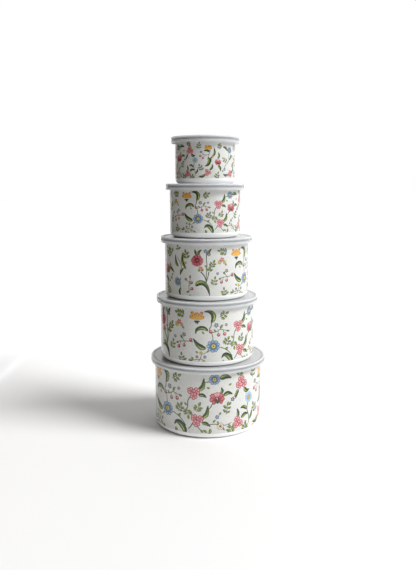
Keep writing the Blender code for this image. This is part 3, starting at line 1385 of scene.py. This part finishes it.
@dataclass
class Lid:
    """The snap lid of frosted plastic, which is clearest where it lies on the steel band.

    band_zone is where the band lies behind the skirt, as drops from the lid's top, and
    leg_zone where its upper leg lies under the panel, as reaches beyond the bowl's wall. The
    last four numbers say how solid the plastic looks in each place.
    """

    container: Container
    overhang: float = 5.9 * MM
    bead_width: float = 2.2 * MM
    bead_slope: float = 0.9 * MM
    panel_drop: float = 1.0 * MM
    underside: float = 2.2 * MM
    skirt: float = 9.2 * MM
    skirt_wall: float = 1.2 * MM
    lip_wall: float = 1.6 * MM
    lip_height: float = 1.6 * MM
    plug_out: float = -1.2 * MM
    plug_wall: float = 1.0 * MM
    plug_bottom: float = 7.2 * MM
    edge_bend: float = 0.9 * MM
    bead_bend: float = 0.5 * MM
    soft_bend: float = 0.4 * MM
    plug_bend: float = 0.35 * MM
    slight_bend: float = 0.3 * MM
    bend_steps: int = 5
    fade: float = 0.4 * MM
    slack: float = 0.05 * MM
    band_zone: tuple[float, float] = (5.5 * MM, 2.7 * MM)
    leg_zone: tuple[float, float] = (0.2 * MM, 3.3 * MM)
    over_band: float = 0.38
    over_leg: float = 0.62
    elsewhere: float = 0.93
    at_lip: float = 1.0

    def profile(self) -> list[Point]:
        """The lid's section, from the middle of its top round to the middle underneath."""
        top = self.container.height
        radius = self.container.radius
        out = radius + self.overhang
        bead = out - self.bead_width
        panel = top - self.panel_drop
        under = top - self.underside
        low = top - self.skirt
        lip = out - self.lip_wall
        inside = out - self.skirt_wall
        plug = radius + self.plug_out
        plug_low = top - self.plug_bottom
        zone_low, zone_top = top - self.band_zone[0], top - self.band_zone[1]
        leg_in = radius + self.leg_zone[0]
        fade = self.fade
        return rounded(
            [
                (0.0, panel, 0),
                (plug * 0.5, panel, 0),
                (leg_in - fade, panel, 0),
                (leg_in, panel, 0),
                (bead - self.bead_slope, panel, self.slight_bend),
                (bead, top, self.bead_bend),
                (out, top, self.edge_bend),
                (out, zone_top + fade, 0),
                (out, zone_top, 0),
                (out, zone_low, 0),
                (out, zone_low - fade, 0),
                (out, low, self.soft_bend),
                (lip, low, self.soft_bend),
                (lip, low + self.lip_height, self.bead_bend),
                (inside, zone_low - fade, self.slight_bend),
                (inside, zone_low, 0),
                (inside, zone_top, 0),
                (inside, under, self.soft_bend),
                (leg_in, under, 0),
                (leg_in - fade, under, 0),
                (plug, under, self.soft_bend),
                (plug, plug_low, self.plug_bend),
                (plug - self.plug_wall, plug_low, self.plug_bend),
                (plug - self.plug_wall, under, self.soft_bend),
                (plug * 0.5, under, 0),
                (0.0, under, 0),
            ],
            self.bend_steps,
        )

    def build(self, plastic: "FrostedPlastic") -> bpy.types.Object:
        """Makes the lid and dresses it.

        Args:
            plastic: The lid's finish.

        Returns:
            The lid.
        """
        box = self.container
        lid = turned(f"snap_lid_{box.label}", self.profile(), box.centre, box.base, False)
        self.set_milk(lid)
        lid.data.materials.append(plastic.material())
        return lid

    def set_milk(self, lid: bpy.types.Object) -> None:
        """Says how solid the plastic looks at each point, in the attribute "milk".

        Args:
            lid: The lid's mesh object.
        """
        box = self.container
        milk = lid.data.attributes.new("milk", "FLOAT", "POINT")
        values = []
        for vertex in lid.data.vertices:
            off = math.hypot(vertex.co.x - box.centre[0], vertex.co.y - box.centre[1])
            values.append(self.milk_at(off - box.radius, box.base + box.height - vertex.co.z))
        milk.data.foreach_set("value", values)

    def milk_at(self, reach: float, drop: float) -> float:
        """How solid the plastic looks at one place.

        Args:
            reach: How far it lies beyond the bowl's wall.
            drop: How far it lies below the lid's top.

        Returns:
            0 for clear, 1 for solid.
        """
        slack = self.slack
        on_skirt = reach > self.overhang - self.skirt_wall - slack
        in_zone = self.band_zone[1] - slack < drop < self.band_zone[0] + slack
        over_leg = self.leg_zone[0] - slack < reach < self.leg_zone[1] + slack
        if on_skirt and in_zone:
            return self.over_band
        if over_leg and drop < self.underside + slack:
            return self.over_leg
        if on_skirt and drop > self.band_zone[0]:
            return self.at_lip
        return self.elsewhere


class NodeKit:
    """Small helpers that lay out one material's nodes."""

    def __init__(self, name: str) -> None:
        """Starts a material with one Principled shader."""
        self.made = bpy.data.materials.new(name)
        self.made.use_nodes = True
        self.tree = self.made.node_tree
        self.shader = self.tree.nodes["Principled BSDF"]
        self.place = self.tree.nodes.new("ShaderNodeTexCoord").outputs["Object"]

    def fixed(self, **values: float) -> None:
        """Sets plain values on the shader, named with _ for a space."""
        for name, value in values.items():
            self.shader.inputs[name.replace("_", " ")].default_value = value

    def noise(
        self,
        scale: float,
        detail: float = 2.0,
        stretch: tuple[float, float, float] = (1, 1, 1),
    ) -> bpy.types.NodeSocket:
        """A noise pattern on the piece.

        Args:
            scale: Its fineness, per metre.
            detail: Its finer layers.
            stretch: How much finer it is along each axis.

        Returns:
            Its value.
        """
        mapping = self.tree.nodes.new("ShaderNodeMapping")
        mapping.inputs["Scale"].default_value = stretch
        self.tree.links.new(self.place, mapping.inputs["Vector"])
        node = self.tree.nodes.new("ShaderNodeTexNoise")
        node.inputs["Scale"].default_value = scale
        node.inputs["Detail"].default_value = detail
        self.tree.links.new(mapping.outputs["Vector"], node.inputs["Vector"])
        return node.outputs["Fac"]

    def ranged(
        self,
        source: bpy.types.NodeSocket,
        low: float,
        high: float,
        new_low: float,
        new_high: float,
    ) -> bpy.types.NodeSocket:
        """The value of a pattern, moved to another range and kept inside it.

        Args:
            source: The pattern.
            low: What becomes new_low.
            high: What becomes new_high.
            new_low: The first end of the new range.
            new_high: The other end.

        Returns:
            The moved value.
        """
        node = self.tree.nodes.new("ShaderNodeMapRange")
        node.inputs["From Min"].default_value = low
        node.inputs["From Max"].default_value = high
        node.inputs["To Min"].default_value = new_low
        node.inputs["To Max"].default_value = new_high
        self.tree.links.new(source, node.inputs["Value"])
        return node.outputs["Result"]

    def mixed(
        self,
        share: bpy.types.NodeSocket,
        one: Colour | bpy.types.NodeSocket,
        other: Colour | bpy.types.NodeSocket,
    ) -> bpy.types.NodeSocket:
        """A colour that runs from one to another.

        Args:
            share: How much of the other there is.
            one: The first colour, plain or from a node.
            other: The second.

        Returns:
            The mixed colour.
        """
        node = self.tree.nodes.new("ShaderNodeMix")
        node.data_type = "RGBA"
        self.tree.links.new(share, node.inputs["Factor"])
        for source, key in ((one, "A"), (other, "B")):
            socket = next(s for s in node.inputs if s.name == key and s.type == "RGBA")
            if isinstance(source, bpy.types.NodeSocket):
                self.tree.links.new(source, socket)
            else:
                socket.default_value = (*source, 1.0)
        return next(s for s in node.outputs if s.type == "RGBA")

    def bumped(
        self,
        height: bpy.types.NodeSocket,
        distance: float,
        strength: float,
        below: bpy.types.NodeSocket | None = None,
    ) -> bpy.types.NodeSocket:
        """The normal of a surface raised by a pattern.

        Args:
            height: The pattern.
            distance: How high its full value stands.
            strength: How much of it shows.
            below: A normal that it is added to.

        Returns:
            The new normal.
        """
        node = self.tree.nodes.new("ShaderNodeBump")
        node.inputs["Distance"].default_value = distance
        node.inputs["Strength"].default_value = strength
        self.tree.links.new(height, node.inputs["Height"])
        if below:
            self.tree.links.new(below, node.inputs["Normal"])
        return node.outputs["Normal"]

    def wire(self, source: bpy.types.NodeSocket, name: str) -> None:
        """Links a value to an input of the shader."""
        self.tree.links.new(source, self.shader.inputs[name])


@dataclass(frozen=True)
class Enamel:
    """White glaze with fine grey flecks, and the fired colours of the decoration."""

    name: str = "flowered_enamel"
    white: Colour = (0.735, 0.738, 0.71)
    fleck: Colour = (0.57, 0.56, 0.565)
    clouded: Colour = (0.69, 0.69, 0.675)
    most_fleck: float = 0.55
    most_cloud: float = 0.16
    ripple_height: float = 0.3 * MM
    grain_height: float = 0.08 * MM

    def material(self) -> bpy.types.Material:
        """The finish, made on first use."""
        made = bpy.data.materials.get(self.name)
        if made:
            return made
        kit = NodeKit(self.name)
        flecks = kit.ranged(kit.noise(380.0, 4.0), 0.5, 0.7, 0.0, self.most_fleck)
        cloud = kit.ranged(kit.noise(24.0, 3.0), 0.3, 0.7, 0.0, self.most_cloud)
        ground = kit.mixed(cloud, kit.mixed(flecks, self.white, self.fleck), self.clouded)
        paint = kit.tree.nodes.new("ShaderNodeAttribute")
        paint.attribute_name = "paint"
        colour = kit.mixed(paint.outputs["Alpha"], ground, paint.outputs["Color"])
        kit.wire(colour, "Base Color")
        kit.wire(kit.ranged(kit.noise(180.0, 3.0), 0.3, 0.7, 0.16, 0.26), "Roughness")
        ripple = kit.bumped(kit.noise(140.0, 2.0), self.ripple_height, 0.25)
        grain = kit.bumped(kit.noise(900.0, 2.0), self.grain_height, 0.15, ripple)
        kit.wire(grain, "Normal")
        kit.fixed(Coat_Weight=0.25, Coat_Roughness=0.08, IOR=1.5)
        return kit.made


@dataclass(frozen=True)
class BrushedSteel:
    """Bare steel with fine lines round the band."""

    name: str = "brushed_band_steel"
    bright: Colour = (0.50, 0.55, 0.67)
    dull: Colour = (0.40, 0.44, 0.54)
    line_height: float = 0.05 * MM

    def material(self) -> bpy.types.Material:
        """The finish, made on first use."""
        made = bpy.data.materials.get(self.name)
        if made:
            return made
        kit = NodeKit(self.name)
        lines = kit.noise(60.0, 4.0, (1, 1, 90))
        share = kit.ranged(lines, 0.3, 0.7, 0, 1)
        kit.wire(kit.mixed(share, self.bright, self.dull), "Base Color")
        kit.wire(kit.ranged(lines, 0.3, 0.7, 0.24, 0.42), "Roughness")
        kit.wire(kit.bumped(lines, self.line_height, 0.3), "Normal")
        kit.fixed(Metallic=1.0)
        return kit.made


@dataclass(frozen=True)
class FrostedPlastic:
    """Milky plastic that lets some light through, most where its "milk" is least."""

    name: str = "frosted_lid_plastic"
    milk: Colour = (0.785, 0.81, 0.815)
    deep: Colour = (0.755, 0.78, 0.785)
    frost_height: float = 0.05 * MM

    def material(self) -> bpy.types.Material:
        """The finish, made on first use."""
        made = bpy.data.materials.get(self.name)
        if made:
            return made
        kit = NodeKit(self.name)
        cloud = kit.ranged(kit.noise(30.0, 3.0), 0.3, 0.7, 0.0, 1.0)
        kit.wire(kit.mixed(cloud, self.milk, self.deep), "Base Color")
        kit.wire(kit.ranged(kit.noise(400.0, 3.0), 0.3, 0.7, 0.2, 0.28), "Roughness")
        kit.wire(kit.bumped(kit.noise(1600.0, 2.0), self.frost_height, 0.25), "Normal")
        milk = kit.tree.nodes.new("ShaderNodeAttribute")
        milk.attribute_name = "milk"
        kit.wire(milk.outputs["Fac"], "Alpha")
        kit.fixed(IOR=1.49, Subsurface_Weight=0.85, Subsurface_Scale=0.014)
        kit.shader.inputs["Subsurface Radius"].default_value = (1.0, 1.0, 1.0)
        return kit.made


@dataclass
class Studio:
    """The floor, the lights and the camera.

    Angles are in degrees. The three light_from numbers are how bright the white room is
    towards +X, +Y and +Z, next to the 1 that the camera sees.
    """

    floor_size: float = 30.0
    floor_tones: tuple[float, float] = (0.905, 0.915)
    card_size: tuple[float, float] = (1.65, 1.2)
    card_place: tuple[float, float, float] = (-0.42, -0.42, 0.62)
    card_tones: tuple[Colour, Colour] = ((0.045, 0.035, 0.02), (0.055, 0.045, 0.03))
    key_power: float = 3.0
    key_spread: float = 27.0
    key_side: tuple[float, float, float] = (0.645, -0.235, 0.72)
    key_distance: float = 3.0
    light_from_right: float = 0.42
    light_from_behind: float = 1.1
    light_from_above: float = 0.6
    lens: float = 39.12
    sensor: float = 36.0
    eye_place: tuple[float, float, float] = (0.0001, -0.9824, 0.3783)
    look_down: float = 8.89

    def build(self) -> None:
        """Sets up everything that isn't the tower."""
        self.floor()
        self.dark_card()
        self.sky()
        self.key()
        self.camera()

    def floor(self) -> None:
        """A wide pale floor."""
        bpy.ops.object.select_all(action="DESELECT")
        bpy.ops.mesh.primitive_plane_add(size=self.floor_size, location=(0, 0, 0))
        floor = bpy.context.active_object
        floor.name = "studio_floor"
        kit = NodeKit("white_floor")
        tone = kit.ranged(kit.noise(3.0, 2.0), 0.3, 0.7, 0.0, 1.0)
        dim, bright = ((level, level, level) for level in self.floor_tones)
        kit.wire(kit.mixed(tone, dim, bright), "Base Color")
        kit.fixed(Roughness=0.75)
        kit.shader.inputs["Specular IOR Level"].default_value = 0.1
        floor.data.materials.append(kit.made)

    def dark_card(self) -> None:
        """A dark card on the left, out of the picture, that keeps that side in shade."""
        bpy.ops.object.select_all(action="DESELECT")
        bpy.ops.mesh.primitive_plane_add(size=1.0)
        card = bpy.context.active_object
        card.name = "dark_card"
        bpy.ops.object.mode_set(mode="EDIT")
        bpy.ops.mesh.select_all(action="SELECT")
        bpy.ops.transform.rotate(value=math.pi / 2, orient_axis="Y", center_override=(0, 0, 0))
        bpy.ops.transform.resize(value=(1, *self.card_size), center_override=(0, 0, 0))
        bpy.ops.transform.translate(value=self.card_place)
        bpy.ops.object.mode_set(mode="OBJECT")
        kit = NodeKit("dark_card_cloth")
        kit.wire(kit.mixed(kit.noise(20.0), *self.card_tones), "Base Color")
        kit.fixed(Roughness=0.9)
        card.data.materials.append(kit.made)
        card.visible_camera = False
        card.visible_shadow = False

    def sky(self) -> None:
        """A white room that lights from behind, from above and a little from the right."""
        world = bpy.data.worlds.new("white_room")
        bpy.context.scene.world = world
        world.use_nodes = True
        tree = world.node_tree
        sight = tree.nodes.new("ShaderNodeTexCoord").outputs["Generated"]
        ahead = tree.nodes.new("ShaderNodeVectorMath")
        ahead.operation = "MAXIMUM"
        ahead.inputs[1].default_value = (0.0, 0.0, 0.0)
        tree.links.new(sight, ahead.inputs[0])
        squared = tree.nodes.new("ShaderNodeVectorMath")
        squared.operation = "MULTIPLY"
        tree.links.new(ahead.outputs["Vector"], squared.inputs[0])
        tree.links.new(ahead.outputs["Vector"], squared.inputs[1])
        total = tree.nodes.new("ShaderNodeVectorMath")
        total.operation = "DOT_PRODUCT"
        total.inputs[1].default_value = (
            self.light_from_right,
            self.light_from_behind,
            self.light_from_above,
        )
        tree.links.new(squared.outputs["Vector"], total.inputs[0])
        seen = tree.nodes.new("ShaderNodeLightPath").outputs["Is Camera Ray"]
        plain = tree.nodes.new("ShaderNodeMix")
        tree.links.new(seen, plain.inputs["Factor"])
        tree.links.new(total.outputs["Value"], plain.inputs["A"])
        plain.inputs["B"].default_value = 1.0
        ground = tree.nodes["Background"]
        ground.inputs["Color"].default_value = (1.0, 1.0, 1.0, 1.0)
        tree.links.new(plain.outputs["Result"], ground.inputs["Strength"])

    def key(self) -> None:
        """One very soft light from the right, above and a little in front."""
        light = bpy.data.lights.new("key_softbox", "SUN")
        light.energy = self.key_power
        light.angle = math.radians(self.key_spread)
        lamp = bpy.data.objects.new("key_softbox", light)
        bpy.context.scene.collection.objects.link(lamp)
        away = Vector(self.key_side).normalized()
        lamp.location = away * self.key_distance
        lamp.rotation_euler = (-away).to_track_quat("-Z", "Y").to_euler()

    def camera(self) -> None:
        """A view straight at the front, a little down on the tower."""
        data = bpy.data.cameras.new("view")
        data.lens = self.lens
        data.sensor_width = self.sensor
        eye = bpy.data.objects.new("view", data)
        bpy.context.scene.collection.objects.link(eye)
        eye.location = self.eye_place
        eye.rotation_euler = (math.radians(90 - self.look_down), 0.0, 0.0)
        bpy.context.scene.camera = eye
        bpy.context.scene.view_settings.view_transform = "Standard"


class Tower:
    """All five closed bowls, from the floor up."""

    decals = {
        "18": Decal(24.0, 0.0),
        "16": Decal(78.0, -2.0),
        "14": Decal(133.0, 1.0),
        "12": Decal(60.0, 4.0),
        "10": Decal(-42.0, 3.5),
    }

    def build(self) -> None:
        """Builds every piece and ties it to its body."""
        strip = FlowerStrip()
        LOG.info("flower strip: %d shapes", len(strip.shapes))
        for label, decal in self.decals.items():
            container = Container(label)
            bowl = Bowl(container, decal).build(strip, Enamel())
            self.tie(bowl, f"container_{label}", f"bowl_{label}")
            band = RimBand(container).build(BrushedSteel())
            self.tie(band, f"container_{label}", f"rim_band_{label}")
            lid = Lid(container).build(FrostedPlastic())
            self.tie(lid, f"lid_{label}", f"lid_{label}")

    def tie(self, piece: bpy.types.Object, body: str, node: str) -> None:
        """Makes a piece ride on its body in place of its CAD node.

        Args:
            piece: The finished piece.
            body: The body it moves with.
            node: The CAD node it stands for.
        """
        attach(piece, body)
        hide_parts(node)
        LOG.info("%s rides on %s", piece.name, body)


def plain(box: Sequence[Vector]) -> list[list[float]]:
    """A box as plain lists of numbers."""
    return [list(map(float, corner)) for corner in box]


def main() -> None:
    """Builds the tower in its studio."""
    logging.basicConfig(level=logging.INFO, format="%(message)s")
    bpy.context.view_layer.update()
    Tower().build()
    Studio().build()


if __name__ == "__main__":
    main()
